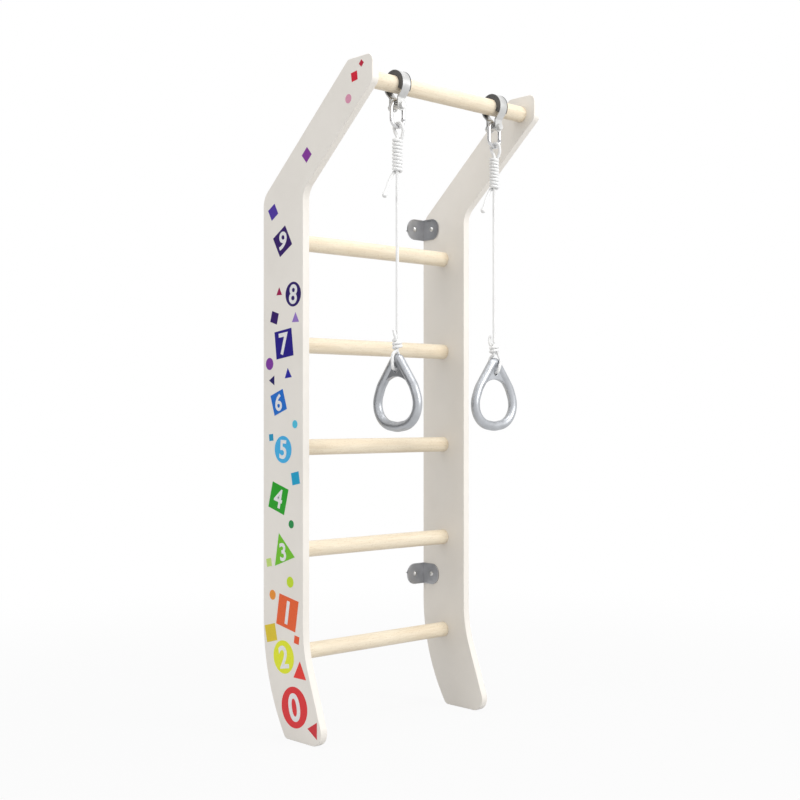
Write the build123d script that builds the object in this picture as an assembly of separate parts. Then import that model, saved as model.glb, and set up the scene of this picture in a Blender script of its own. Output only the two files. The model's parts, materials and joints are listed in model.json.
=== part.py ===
"""Children's wall bars: two plywood side panels, five rungs, a pull-up bar and a pair of hanging gym rings.

Millimetres, +Z up. The wall is at +Y, the room at -Y, and the rungs run along X.
"""
import math
import os

from build123d import *

os.makedirs("parts", exist_ok=True)

# Frame as a whole
frame_height = 1450.0
inner_width = 480.0
panel_t = 18.0
panel_depth = 142.0
panel_edge_r = 1.5

# Upper arm of a side panel, which leans into the room
arm_angle = 41.0
arm_reach = 368.0
arm_tip_h = 56.5
bend_r = 42.0
arm_corner_r = 16.0

# Foot of a side panel, which kicks forward
heel_start_z = 255.0
heel_curve_r = 450.0
heel_corner_r = 14.0
toe_start_z = 250.0
toe_curve_r = 270.0
toe_lean = 20.2
toe_corner_r = 30.0

# Rungs and pull-up bar
rung_d = 36.0
rung_count = 5
lowest_rung_z = 183.0
top_rung_below_bend = 102.0
bar_d = 36.0
bar_in = 42.0
bar_down = 41.0
socket_depth = 12.0
glue_gap = 0.1
end_gap = 0.3
rod_chamfer = 1.5

# Angle brackets to the wall
bracket_leg = 56.0
bracket_height = 51.0
bracket_t = 2.0
bracket_fold_r = 5.0
bracket_end_r = 24.0
bracket_rim = 3.0
bracket_rim_rise = 1.2
bracket_hole_in = 31.0
lower_bracket_z = 316.0
upper_bracket_below_bend = 24.0

# Screws of the brackets
screw_d = 4.5
screw_neck_d = 4.0
screw_neck_extra = 0.5
screw_head_d = 12.0
screw_head_h = 4.2
screw_recess_af = 4.0
screw_recess_depth = 2.0
panel_screw_length = 16.0
wall_screw_length = 34.0
screw_tip_length = 5.0
screw_hole_gap = 0.1

# Ring hangers on the bar
hanger_spacing = 300.0
bush_r = 26.5
bush_flange_r = 30.0
bush_flange_t = 1.6
strap_width = 21.6
strap_t = 3.0
strap_leg_out = 14.0
strap_wrap_angle = 45.0
strap_leg_end = 55.0
strap_bend_r = 6.0
strap_end_r = 9.0
bolt_drop = 45.0
bolt_d = 8.0
bolt_head_af = 13.0
bolt_head_h = 5.3
bolt_stub = 2.0
nut_h = 6.5
washer_d = 16.0
washer_t = 1.6
spacer_d = 12.0
bolt_end_chamfer = 0.8
running_gap = 0.1
side_gap = 0.3

# Snap hooks
hook_wire_d = 8.0
hook_width = 42.0
hook_height = 62.0
gate_d = 7.0
gate_length = 18.0
gate_ear_t = 1.7
gate_slot_depth = 4.5
tang_t = 3.0
tongue_t = 2.4
tongue_length = 3.4
rivet_d = 2.4
rivet_head_d = 3.6
rivet_head_h = 0.5

# Ropes
rope_d = 7.0
wrap_r = 8.0
wrap_gap = 0.5
top_wraps = 9.25
ring_wraps = 3.25
cord_end_run = 6.0
seat_gap = 0.4
butt_gap = 0.02
eye_drop = 30.0
knot_core_r = 4.2
rope_length = 323.0
tail_lean = 28.0
tail_run = 18.0
stub_length = 11.0
stopper_d = 13.0
stopper_length = 12.0

# Gym rings
ring_width = 146.0
ring_height = 166.0
ring_t = 22.0
ring_edge_r = 10.4
ring_lobe_r = 60.0
ring_apex_r = 20.0
opening_width = 102.0
opening_bottom = 25.0
opening_height = 90.0
opening_lobe_r = 35.0
opening_apex_r = 12.0
ring_hole_d = 12.0
ring_hole_down = 32.0
ring_hole_edge_r = 2.4
ring_web_t = 12.0
ring_recess_r = 11.0
ring_rope_rise = 1.9
ring_drop = 20.0

# Shares that shape small details
hex_sides = 6
screw_lip_share = 0.2
dome_out_share = 0.72
dome_up_share = 0.78
hex_cone_share = 0.9
hex_cone_foot_share = 1.05
tongue_reach_share = 0.45
arc_share = 0.45
bend_share = 1.05
samples_per_edge = 6

# Places worked out from the sizes
half_width = inner_width / 2
arm_slope = math.tan(math.radians(arm_angle))
bend_z = frame_height - arm_tip_h - (arm_reach - panel_depth) * arm_slope
top_rung_z = bend_z - top_rung_below_bend
rung_pitch = (top_rung_z - lowest_rung_z) / (rung_count - 1)
upper_bracket_z = bend_z - upper_bracket_below_bend
bar_reach = arm_reach - bar_in
bar_z = frame_height - bar_down
wall_screw_reach = wall_screw_length - bracket_t
front_reach = bar_reach + ring_width / 2
wall_y = (front_reach - wall_screw_reach) / 2
rung_y = wall_y - panel_depth / 2
bar_y = wall_y - bar_reach
hanger_x = {"left": -hanger_spacing / 2, "right": hanger_spacing / 2}
bolt_z = bar_z - bolt_drop
hook_r = (hook_width - hook_wire_d) / 2
hook_top_z = bolt_z + spacer_d / 2 + side_gap + hook_wire_d / 2
hook_bottom_z = hook_top_z - hook_height + hook_wire_d
hook_upper_centre_z = hook_top_z - hook_r
hook_lower_centre_z = hook_bottom_z + hook_r
wrap_pitch = (rope_d + wrap_gap) / math.cos(math.atan((rope_d + wrap_gap) / (2 * math.pi * wrap_r)))
top_knot_z = hook_bottom_z - eye_drop
top_knot_height = top_wraps * wrap_pitch + rope_d
rope_top_z = top_knot_z - top_knot_height
rope_bottom_z = rope_top_z - rope_length
ring_knot_height = ring_wraps * wrap_pitch + rope_d
ring_knot_z = rope_bottom_z - ring_knot_height
ring_top_z = ring_knot_z - ring_drop
eye_top = eye_drop + hook_wire_d / 2 + seat_gap + rope_d / 2
loop_foot = ring_rope_rise - ring_drop - ring_hole_down


def save(shape, name):
    """Write one node."""
    shape.label = name
    export_step(shape, f"parts/{name}.step")


def nearest_vertex(shape, x, y):
    """The vertex of a sketch nearest to a place in its own plane."""
    target = Vector(x, y, 0)
    return min(shape.vertices(), key=lambda v: (Vector(*v) - target).length)


def rod(length, diameter):
    """A round rod along X, centred, with eased ends."""
    body = Rot(0, 90, 0) * Cylinder(diameter / 2, length)
    return chamfer(body.edges().filter_by(GeomType.CIRCLE), rod_chamfer)


# Side panels: one outline, drawn as distance from the wall and height
arm_top_back = (frame_height - bend_z) / arm_slope
arm_tip_under_z = bend_z + (arm_reach - panel_depth) * arm_slope
lean = math.radians(toe_lean)
toe_arc_end = (
    panel_depth + toe_curve_r * (1 - math.cos(lean)),
    toe_start_z - toe_curve_r * math.sin(lean),
)
toe_arc_middle = (
    panel_depth + toe_curve_r * (1 - math.cos(lean / 2)),
    toe_start_z - toe_curve_r * math.sin(lean / 2),
)
toe_point = (toe_arc_end[0] + toe_arc_end[1] * math.tan(lean), 0)
heel_turn = math.asin(heel_start_z / heel_curve_r)
heel_point = (heel_curve_r * (1 - math.cos(heel_turn)), 0)
heel_middle = (
    heel_curve_r * (1 - math.cos(heel_turn / 2)),
    heel_start_z - heel_curve_r * math.sin(heel_turn / 2),
)


def panel_outline():
    """The panel's outline as a face in XY: x is the distance from the wall and y the height."""
    lines = [
        Line((0, heel_start_z), (0, bend_z)),
        Line((0, bend_z), (arm_top_back, frame_height)),
        Line((arm_top_back, frame_height), (arm_reach, frame_height)),
        Line((arm_reach, frame_height), (arm_reach, arm_tip_under_z)),
        Line((arm_reach, arm_tip_under_z), (panel_depth, bend_z)),
        Line((panel_depth, bend_z), (panel_depth, toe_start_z)),
        ThreePointArc((panel_depth, toe_start_z), toe_arc_middle, toe_arc_end),
        Line(toe_arc_end, toe_point),
        Line(toe_point, heel_point),
        ThreePointArc(heel_point, heel_middle, (0, heel_start_z)),
    ]
    outline = make_face(Curve() + lines)
    corners = [
        (0, bend_z, bend_r),
        (panel_depth, bend_z, bend_r),
        (arm_top_back, frame_height, arm_corner_r),
        (arm_reach, frame_height, arm_corner_r),
        (arm_reach, arm_tip_under_z, arm_corner_r),
        (*toe_point, toe_corner_r),
        (*heel_point, heel_corner_r),
    ]
    for x, y, radius in corners:
        outline = fillet(nearest_vertex(outline, x, y), radius)
    return outline


def from_wall(x):
    """The plane at x whose own x is the distance from the wall and own y the height."""
    return Plane(origin=(x, wall_y, 0), x_dir=(0, -1, 0), z_dir=(-1, 0, 0))


rung_places = [lowest_rung_z + i * rung_pitch for i in range(rung_count)]
rod_length = inner_width + 2 * (socket_depth - end_gap)
bracket_places = {"upper": upper_bracket_z, "lower": lower_bracket_z}
socket_d = rung_d + 2 * glue_gap
bar_socket_d = bar_d + 2 * glue_gap
screw_pilot_r = screw_d / 2 + screw_hole_gap


def side_panel(side):
    """One side panel with blind sockets and pilot holes in its inner face."""
    sign = -1 if side == "left" else 1
    inner_x = sign * half_width
    outer_x = sign * (half_width + panel_t)
    board = extrude(from_wall(max(inner_x, outer_x)) * panel_outline(), panel_t)
    rims = board.edges().filter_by(lambda e: abs(e.center().X - inner_x) < glue_gap)
    rims += board.edges().filter_by(lambda e: abs(e.center().X - outer_x) < glue_gap)
    board = fillet(rims, panel_edge_r)
    depth_x = inner_x + sign * socket_depth / 2
    for z in rung_places:
        board -= Pos(depth_x, rung_y, z) * Rot(0, 90, 0) * Cylinder(socket_d / 2, socket_depth)
    board -= Pos(depth_x, bar_y, bar_z) * Rot(0, 90, 0) * Cylinder(bar_socket_d / 2, socket_depth)
    pilot_depth = panel_screw_length - bracket_t + end_gap
    pilot_x = inner_x + sign * pilot_depth / 2
    for z in bracket_places.values():
        place = Pos(pilot_x, wall_y - bracket_hole_in, z)
        board -= place * Rot(0, 90, 0) * Cylinder(screw_pilot_r, pilot_depth)
    return board


for side in ("left", "right"):
    save(side_panel(side), f"{side}_side_panel")
for i, z in enumerate(rung_places):
    save(Pos(0, rung_y, z) * rod(rod_length, rung_d), f"rung_{i + 1}")
save(Pos(0, bar_y, bar_z) * rod(rod_length, bar_d), "pull_up_bar")


# Brackets: pressed steel angles with rounded ends and a raised rim
def bracket_leg_plate():
    """One leg in XY, from the fold at x = 0, with its rim raised along +Z."""
    blank = Pos(bracket_leg / 2, 0) * Rectangle(bracket_leg, bracket_height)
    ends = [v for v in blank.vertices() if v.X > bracket_leg / 2]
    blank = fillet(ends, bracket_end_r)
    field = offset(blank, -bracket_rim)
    plate = extrude(blank, bracket_t)
    rim = Pos(0, 0, bracket_t) * extrude(blank - field, bracket_rim_rise)
    keep = Pos(bracket_leg / 2 + bracket_fold_r, 0, 0) * Box(bracket_leg, bracket_height, bracket_leg)
    plate += rim & keep
    return plate - Pos(bracket_hole_in, 0, 0) * Cylinder(screw_pilot_r, bracket_leg)


def bracket():
    """An angle for the right panel: one leg on the wall towards -X, one on the panel towards -Y."""
    wall_leg = Plane(origin=(0, 0, 0), x_dir=(-1, 0, 0), z_dir=(0, -1, 0)) * bracket_leg_plate()
    panel_leg = Plane(origin=(0, 0, 0), x_dir=(0, -1, 0), z_dir=(-1, 0, 0)) * bracket_leg_plate()
    body = wall_leg + panel_leg
    spine = body.edges().filter_by(Axis.Z).sort_by(lambda e: e.center().X + e.center().Y)[-1]
    return fillet(spine, bracket_t)


def screw(length):
    """A dome-head screw along -Z with the underside of its head at z = 0."""
    shank_r = screw_d / 2
    neck_r = screw_neck_d / 2
    neck_foot = -(bracket_t + screw_neck_extra)
    head_r = screw_head_d / 2
    tip_start = -(length - screw_tip_length)
    lip = screw_lip_share * screw_head_h
    shoulder = (dome_out_share * head_r, dome_up_share * screw_head_h)
    profile = [
        Line((0, screw_head_h), (0, -length)),
        Line((0, -length), (shank_r, tip_start)),
        Line((shank_r, tip_start), (shank_r, neck_foot)),
        Line((shank_r, neck_foot), (neck_r, neck_foot)),
        Line((neck_r, neck_foot), (neck_r, 0)),
        Line((neck_r, 0), (head_r, 0)),
        Line((head_r, 0), (head_r, lip)),
        ThreePointArc((head_r, lip), shoulder, (0, screw_head_h)),
    ]
    body = revolve(Plane.XZ * make_face(Curve() + profile), Axis.Z)
    recess = RegularPolygon(screw_recess_af / 2, hex_sides, major_radius=False)
    return body - Pos(0, 0, screw_head_h - screw_recess_depth) * extrude(recess, screw_head_h)


right_bracket = bracket()
panel_screws = []
wall_screws = []
for side, sign in (("left", -1), ("right", 1)):
    for level, z in bracket_places.items():
        place = Pos(sign * half_width, wall_y, z)
        turned = right_bracket if side == "right" else mirror(right_bracket, Plane.YZ)
        save(place * turned, f"{side}_{level}_bracket")
        on_panel = Pos(-sign * bracket_t, -bracket_hole_in, 0) * Rot(0, -sign * 90, 0)
        on_wall = Pos(-sign * bracket_hole_in, -bracket_t, 0) * Rot(90, 0, 0)
        panel_screws.append(place * on_panel * screw(panel_screw_length))
        wall_screws.append(place * on_wall * screw(wall_screw_length))
save(Compound(children=panel_screws), "bracket_panel_screws")
save(Compound(children=wall_screws), "bracket_wall_screws")


# Hangers: a flanged bush on the bar, a steel strap that swings on it, and its cross bolt
def ring_of(outer_r, inner_r, length):
    """A plain tube along X, centred."""
    return Rot(0, 90, 0) * (Cylinder(outer_r, length) - Cylinder(inner_r, length))


def along_y(shape):
    """Turn a shape built along Z to lie along Y, its +Z end towards the room."""
    return Rot(90, 0, 0) * shape


def hanger_bush():
    bore_r = bar_d / 2 + glue_gap
    body_width = strap_width + 2 * side_gap
    flange_x = (body_width + bush_flange_t) / 2
    body = ring_of(bush_r, bore_r, body_width)
    for x in (-flange_x, flange_x):
        body += Pos(x, 0, 0) * ring_of(bush_flange_r, bore_r, bush_flange_t)
    return body


def hanger_strap():
    """A band of flat steel over the bush, its two legs drawn together to the bolt."""
    mid_r = bush_r + running_gap + strap_t / 2
    leg_y = strap_leg_out - strap_t / 2
    wrap = math.radians(strap_wrap_angle)
    leave = (mid_r * math.cos(wrap), -mid_r * math.sin(wrap))
    knee = (leg_y, leave[1] - (leave[0] - leg_y) / math.tan(wrap))
    leg = FilletPolyline(leave, knee, (leg_y, -strap_leg_end), radius=strap_bend_r)
    arch = ThreePointArc(leave, (0, mid_r), (-leave[0], leave[1]))
    path = Wire((Plane.YZ * (Curve() + [mirror(leg, Plane.YZ), arch, leg])).edges())
    section = Plane(origin=path @ 0, x_dir=(1, 0, 0), z_dir=path % 0) * Rectangle(strap_width, strap_t)
    band = sweep(section, path)
    ends = band.edges().filter_by(Axis.Y).group_by(Axis.Z)[0]
    band = fillet(ends, strap_end_r)
    hole = along_y(Cylinder(bolt_d / 2 + running_gap, bush_flange_r * 2))
    return band - Pos(0, 0, -bolt_drop) * hole


def hex_block(across, height):
    """A hexagon prism from z = 0 up, its outer corners turned off by a cone."""
    prism = extrude(RegularPolygon(across / 2, hex_sides, major_radius=False), height)
    tall = height + across * hex_cone_share
    cone = Cone(across * hex_cone_foot_share, 0, tall * 2, align=(Align.CENTER, Align.CENTER, Align.MIN))
    return prism & cone


def hanger_bolt():
    """The bolt along Y, head towards the room, its origin at the middle of the strap's legs."""
    half_grip = strap_leg_out + washer_t
    length = 2 * half_grip + nut_h + bolt_stub
    shank = Cylinder(bolt_d / 2, length, align=(Align.CENTER, Align.CENTER, Align.MAX))
    shank = chamfer(shank.edges().sort_by(Axis.Z)[0], bolt_end_chamfer)
    head = hex_block(bolt_head_af, bolt_head_h)
    return Pos(0, -half_grip, 0) * along_y(shank + head)


def hanger_nut():
    half_grip = strap_leg_out + washer_t
    nut = hex_block(bolt_head_af, nut_h) - Cylinder(bolt_d / 2 + glue_gap, nut_h * 2)
    return Pos(0, half_grip, 0) * Rot(-90, 0, 0) * nut


def hanger_washers():
    washer = Cylinder(washer_d / 2, washer_t) - Cylinder(bolt_d / 2 + running_gap, washer_t)
    y = strap_leg_out + washer_t / 2
    return Compound(children=[Pos(0, -y, 0) * along_y(washer), Pos(0, y, 0) * along_y(washer)])


def hanger_spacer():
    length = 2 * (strap_leg_out - strap_t) - side_gap
    tube = Cylinder(spacer_d / 2, length) - Cylinder(bolt_d / 2 + running_gap, length)
    return along_y(tube)


# Snap hook: a bent wire ring in the XZ plane, open on one limb for a sprung gate
gate_foot_z = hook_lower_centre_z
gate_top_z = gate_foot_z + gate_length
ear_span = tang_t + 2 * (gate_ear_t + running_gap)


def snap_hook():
    """The wire from its nose over the top, down the spine and round to the gate's hinge."""
    nose_z = gate_top_z + side_gap
    path = Curve() + [
        Line((hook_r, nose_z), (hook_r, hook_upper_centre_z)),
        ThreePointArc(
            (hook_r, hook_upper_centre_z), (0, hook_top_z), (-hook_r, hook_upper_centre_z)
        ),
        Line((-hook_r, hook_upper_centre_z), (-hook_r, hook_lower_centre_z)),
        ThreePointArc(
            (-hook_r, hook_lower_centre_z), (0, hook_bottom_z), (hook_r, hook_lower_centre_z)
        ),
    ]
    path = Wire((Plane.XZ * path).edges())
    wire = sweep(Plane(origin=path @ 0, z_dir=path % 0) * Circle(hook_wire_d / 2), path)
    tongue = Pos(hook_r, 0, nose_z) * Box(gate_d, tongue_t, tongue_length * 2)
    tongue &= Pos(hook_r, 0, nose_z) * Cylinder(tongue_reach_share * gate_d, tongue_length * 2)
    pivot = Pos(hook_r, 0, gate_foot_z)
    hinge_room = hook_wire_d + 2 * side_gap
    cheeks = Box(hinge_room, hook_wire_d, gate_d + 2 * side_gap)
    cheeks -= Box(hinge_room, tang_t, hinge_room)
    round_end = along_y(Cylinder(gate_d / 2, tang_t))
    bore = along_y(Cylinder(rivet_d / 2 + running_gap, hook_wire_d))
    return wire + tongue - pivot * cheeks + pivot * round_end - pivot * bore


def hook_gate():
    """The gate rod, forked round the hinge tang below and slotted for the tongue above."""
    pivot = Pos(hook_r, 0, gate_foot_z)
    rod_body = pivot * Cylinder(gate_d / 2, gate_length, align=(Align.CENTER, Align.CENTER, Align.MIN))
    foot = pivot * along_y(Cylinder(gate_d / 2, ear_span))
    fork = pivot * Box(gate_d * 2, tang_t + 2 * running_gap, gate_d + 2 * side_gap)
    slot = Pos(hook_r, 0, gate_top_z) * Box(gate_d * 2, tongue_t + 2 * side_gap, gate_slot_depth * 2)
    hole = pivot * along_y(Cylinder(rivet_d / 2 + glue_gap, hook_wire_d))
    return rod_body + foot - fork - slot - hole


def hook_rivet():
    """The gate's hinge pin with a small head on each ear."""
    pin = Cylinder(rivet_d / 2, ear_span + 2 * side_gap)
    for sign in (-1, 1):
        z = sign * (ear_span / 2 + side_gap + rivet_head_h / 2)
        pin += Pos(0, 0, z) * Cylinder(rivet_head_d / 2, rivet_head_h)
    return Pos(hook_r, 0, gate_foot_z) * along_y(pin)


# Ropes
def corner_radii(points):
    """For each inner point, the arc radius that its two runs allow."""
    radii = []
    for a, b, c in zip(points, points[1:], points[2:]):
        before = Vector(*b) - Vector(*a)
        after = Vector(*c) - Vector(*b)
        half_turn = math.radians(before.get_angle(after)) / 2
        radii.append(arc_share * min(before.length, after.length) / math.tan(half_turn))
    return radii


def cord(points, name):
    """A tube along straight runs joined by tangent arcs; prints its radii and checks its volume."""
    radii = corner_radii(points)
    path = FilletPolyline(*points, radius=radii) if radii else Line(*points)
    path = Wire(path.edges())
    tube = sweep(Plane(origin=path @ 0, z_dir=path % 0) * Circle(rope_d / 2), path)
    expected = math.pi * rope_d**2 / 4 * path.length
    print(
        f"{name}: length {path.length:.1f}, radii {[round(r, 1) for r in radii]},"
        f" volume / (section x length) {tube.volume / expected:.4f}"
    )
    return tube


def tangent_bend(start, direction, new_direction, radius):
    """The arc from start that turns direction into new_direction."""
    d = direction.normalized()
    n = new_direction.normalized()
    turn = math.radians(d.get_angle(n))
    inward = (n - d * d.dot(n)).normalized()

    def place(angle):
        return start + d * (radius * math.sin(angle)) + inward * (radius * (1 - math.cos(angle)))

    return ThreePointArc(start, place(turn / 2), place(turn)), place(turn)


def biarc(p0, t0, p1, t1):
    """Two tangent arcs from p0 along t0 to p1 along t1."""
    v = p1 - p0
    t = t0 + t1
    k = 2 * (1 - t0.dot(t1))
    d = (math.sqrt(v.dot(t) ** 2 + k * v.dot(v)) - v.dot(t)) / k
    middle = (p0 + t0 * d + p1 - t1 * d) * 0.5
    along = (p1 - t1 * d) - (p0 + t0 * d)
    return [
        Edge.make_tangent_arc(p0, t0, middle),
        Edge.make_tangent_arc(middle, along.normalized(), p1),
    ]


def wrapped_knot(wraps, tail_direction, name):
    """Wraps going down round the core from z = 0; the strand comes in from straight above.

    Returns the solid, the face centre at each end of the wound strand, and the path.
    """
    top = -rope_d / 2
    slope = wrap_pitch / (2 * math.pi * wrap_r)

    def place(quarter):
        angle = quarter * math.pi / 2
        drop = wrap_pitch * quarter / 4
        return Vector(wrap_r * math.cos(angle), wrap_r * math.sin(angle), top - drop)

    def heading(quarter):
        angle = quarter * math.pi / 2
        return Vector(-math.sin(angle), math.cos(angle), -slope).normalized()

    quarters = round(wraps * 4)
    entry, entry_foot = tangent_bend(place(0), heading(0) * -1, Vector(0, 0, 1), rope_d * bend_share)
    entry_top = entry_foot + Vector(0, 0, rope_d)
    exit_start = place(quarters)
    exit_arc, exit_foot = tangent_bend(exit_start, heading(quarters), tail_direction, rope_d * bend_share)
    exit_end = exit_foot + tail_direction.normalized() * rope_d
    edges = [Edge.make_line(entry_top, entry_foot)]
    edges += ThreePointArc(entry_foot, entry @ 0.5, place(0)).edges()
    for quarter in range(quarters):
        edges += biarc(place(quarter), heading(quarter), place(quarter + 1), heading(quarter + 1))
    edges += exit_arc.edges()
    edges.append(Edge.make_line(exit_foot, exit_end))
    path = Wire(edges)
    section = Plane(origin=entry_top, z_dir=(0, 0, -1)) * Circle(rope_d / 2)
    strand = sweep(section, path)
    samples = [path @ (i / (len(edges) * samples_per_edge)) for i in range(len(edges) * samples_per_edge + 1)]
    step = path.length / (len(samples) - 1)
    apart = int(math.pi * wrap_r / step)
    least = min(
        (samples[i] - samples[j]).length
        for i in range(len(samples))
        for j in range(i + apart, len(samples))
    )
    height = wraps * wrap_pitch + rope_d
    core = Pos(0, 0, -height / 2) * Cylinder(knot_core_r, height)
    expected = math.pi * rope_d**2 / 4 * path.length
    print(
        f"{name}: wound length {path.length:.1f}, least gap to itself {least - rope_d:.2f},"
        f" volume / (section x length) {strand.volume / expected:.4f}"
    )
    return Compound(children=[strand, core]), entry_top, exit_end


def upside_down(point):
    return Vector(point.X, point.Y, -point.Z)


# The upper knot's tail leaves down to the left, the ring knot's tail leaves upwards
tail_heading = Vector(-math.sin(math.radians(tail_lean)), 0, -math.cos(math.radians(tail_lean)))
top_knot, eye_end, tail_start = wrapped_knot(top_wraps, tail_heading, "rope_knot")
low_knot, loop_end, stub_start = wrapped_knot(ring_wraps, tail_heading, "ring_knot")
low_knot = mirror(low_knot, Plane.XY)
loop_end = upside_down(loop_end)
stub_start = upside_down(stub_start)

# Routes, from the rope's axis: the eye and the tail from the top of the upper knot,
# the loop and the stub from the foot of the ring knot
eye_route = [
    (0, 0, butt_gap),
    (0, 0, cord_end_run),
    (0, 9.5, 20),
    (0.5, 11, eye_top),
    (2.5, -11, eye_top),
    (5.5, -10, 21.5),
    (eye_end.X, eye_end.Y, eye_end.Z + cord_end_run),
    (eye_end.X, eye_end.Y, eye_end.Z + butt_gap),
]
tail_route = [
    tuple(tail_start + tail_heading * butt_gap),
    tuple(tail_start + tail_heading * tail_run),
    (tail_start.X - 15, tail_start.Y - 3, tail_start.Z - 35),
]
loop_route = [
    (0, 0, -butt_gap),
    (0, 0, -cord_end_run),
    (0, 16, -22),
    (0, 15.8, loop_foot),
    (0, -15.8, loop_foot),
    (3, -18.5, -27),
    (loop_end.X, loop_end.Y, loop_end.Z - cord_end_run),
    (loop_end.X, loop_end.Y, loop_end.Z - butt_gap),
]
stub_heading = upside_down(tail_heading)
stub_route = [
    tuple(stub_start + stub_heading * butt_gap),
    tuple(stub_start + stub_heading * stub_length),
]


def stopper(end, direction):
    """The overhand end knot of a tail, as a barrel along its last run."""
    barrel = Cylinder(stopper_d / 2, stopper_length, align=(Align.CENTER, Align.CENTER, Align.MIN))
    barrel = fillet(barrel.edges().filter_by(GeomType.CIRCLE), stopper_d / 2 * arc_share)
    return Plane(origin=end, z_dir=direction) * barrel


def hull_of(circles):
    """The outline stretched round circles given as x, y and radius."""
    edges = []
    for x, y, radius in circles:
        edges += (Pos(x, y) * Circle(radius)).edges()
    return make_hull(edges)


def gym_ring():
    """A teardrop ring in the XZ plane, its top at z = 0, with a rope hole through its web along Y."""
    lobe_x = ring_width / 2 - ring_lobe_r
    lobe_z = ring_lobe_r - ring_height
    outer = hull_of([(-lobe_x, lobe_z, ring_lobe_r), (lobe_x, lobe_z, ring_lobe_r), (0, -ring_apex_r, ring_apex_r)])
    inner_x = opening_width / 2 - opening_lobe_r
    inner_foot = opening_bottom - ring_height
    inner_z = inner_foot + opening_lobe_r
    inner_apex = inner_foot + opening_height - opening_apex_r
    inner = hull_of(
        [
            (-inner_x, inner_z, opening_lobe_r),
            (inner_x, inner_z, opening_lobe_r),
            (0, inner_apex, opening_apex_r),
        ]
    )
    body = extrude(Plane.XZ * (outer - inner), ring_t / 2, both=True)
    rims = body.edges().filter_by(lambda e: abs(abs(e.center().Y) - ring_t / 2) < glue_gap)
    body = fillet(rims, ring_edge_r)
    hole = Pos(0, 0, -ring_hole_down)
    body -= hole * along_y(Cylinder(ring_hole_d / 2, ring_t))
    for sign in (-1, 1):
        deep = ring_t / 2 - ring_web_t / 2
        place = hole * Pos(0, sign * (ring_t / 2 - deep / 2), 0)
        body -= place * along_y(Cylinder(ring_recess_r, deep))
    mouths = body.edges().filter_by(
        lambda e: e.geom_type == GeomType.CIRCLE
        and abs(e.radius - ring_hole_d / 2) < glue_gap
        and abs(abs(e.center().Y) - ring_web_t / 2) < glue_gap
    )
    return fillet(mouths, ring_hole_edge_r)


ring = gym_ring()
for side, x in hanger_x.items():
    on_bar = Pos(x, bar_y, bar_z)
    on_bolt = Pos(x, bar_y, bolt_z)
    on_axis = Pos(x, bar_y, 0)
    spin = Rot(0, 0, 90) if side == "left" else Rot(0, 0, 0)
    save(on_bar * hanger_bush(), f"{side}_hanger_bush")
    save(on_bar * hanger_strap(), f"{side}_hanger_strap")
    save(on_bolt * hanger_bolt(), f"{side}_hanger_bolt")
    save(on_bolt * hanger_nut(), f"{side}_hanger_nut")
    save(on_bolt * hanger_washers(), f"{side}_hanger_washers")
    save(on_bolt * hanger_spacer(), f"{side}_hanger_spacer")
    save(on_axis * snap_hook(), f"{side}_snap_hook")
    save(on_axis * hook_gate(), f"{side}_hook_gate")
    save(on_axis * hook_rivet(), f"{side}_hook_rivet")

    at_top_knot = Pos(x, bar_y, top_knot_z)
    at_ring_knot = Pos(x, bar_y, ring_knot_z) * spin
    save(at_top_knot * top_knot, f"{side}_rope_knot")
    save(at_top_knot * cord(eye_route, "rope_eye"), f"{side}_rope_eye")
    tail = cord(tail_route, "rope_tail")
    last_run = Vector(*tail_route[-1]) - Vector(*tail_route[-2])
    tail += stopper(Vector(*tail_route[-1]), last_run)
    save(at_top_knot * tail, f"{side}_rope_tail")
    top_point = (0, 0, rope_top_z - butt_gap)
    bottom_point = (0, 0, rope_bottom_z + side_gap)
    save(on_axis * cord([top_point, bottom_point], "rope"), f"{side}_rope")
    save(at_ring_knot * low_knot, f"{side}_ring_knot")
    save(at_ring_knot * cord(loop_route, "ring_loop"), f"{side}_ring_loop")
    save(at_ring_knot * cord(stub_route, "ring_knot_tail"), f"{side}_ring_knot_tail")
    save(Pos(x, bar_y, ring_top_z) * spin * ring, f"{side}_gym_ring")
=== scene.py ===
import json
import math

import bpy
import numpy as np
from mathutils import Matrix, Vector


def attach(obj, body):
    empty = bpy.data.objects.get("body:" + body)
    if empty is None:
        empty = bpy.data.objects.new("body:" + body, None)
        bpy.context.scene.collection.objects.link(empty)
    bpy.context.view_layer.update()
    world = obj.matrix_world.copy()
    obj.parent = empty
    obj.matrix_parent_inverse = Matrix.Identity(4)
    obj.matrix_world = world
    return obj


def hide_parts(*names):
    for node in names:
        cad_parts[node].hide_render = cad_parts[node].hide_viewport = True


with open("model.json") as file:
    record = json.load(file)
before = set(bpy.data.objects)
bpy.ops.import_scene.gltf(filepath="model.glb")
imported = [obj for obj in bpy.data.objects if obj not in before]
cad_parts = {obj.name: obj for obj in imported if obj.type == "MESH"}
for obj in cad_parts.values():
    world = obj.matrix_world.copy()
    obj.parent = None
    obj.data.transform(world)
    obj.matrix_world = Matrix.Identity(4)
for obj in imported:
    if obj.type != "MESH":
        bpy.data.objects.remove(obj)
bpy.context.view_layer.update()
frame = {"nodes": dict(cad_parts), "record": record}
print("frame loaded")

# the photograph's own viewpoint: a level camera, so upright edges stay parallel
viewSettings = {
    "place": (-1.9892, -2.1331, 0.7101),
    "yaw": 42.856,
    "lens": 57.64,
    "sensorWidth": 36.0,
    "shiftUp": 0.0193,
    "clipEnd": 60.0,
}


def linked(name, data):
    piece = bpy.data.objects.new(name, data)
    bpy.context.scene.collection.objects.link(piece)
    return piece


def placeCamera(view):
    data = bpy.data.cameras.new("photoView")
    data.lens = view["lens"]
    data.sensor_width = view["sensorWidth"]
    data.shift_y = view["shiftUp"]
    data.clip_end = view["clipEnd"]
    camera = linked("photoView", data)
    camera.location = view["place"]
    camera.rotation_euler = (math.radians(90), 0.0, math.radians(-view["yaw"]))
    bpy.context.scene.camera = camera


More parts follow.
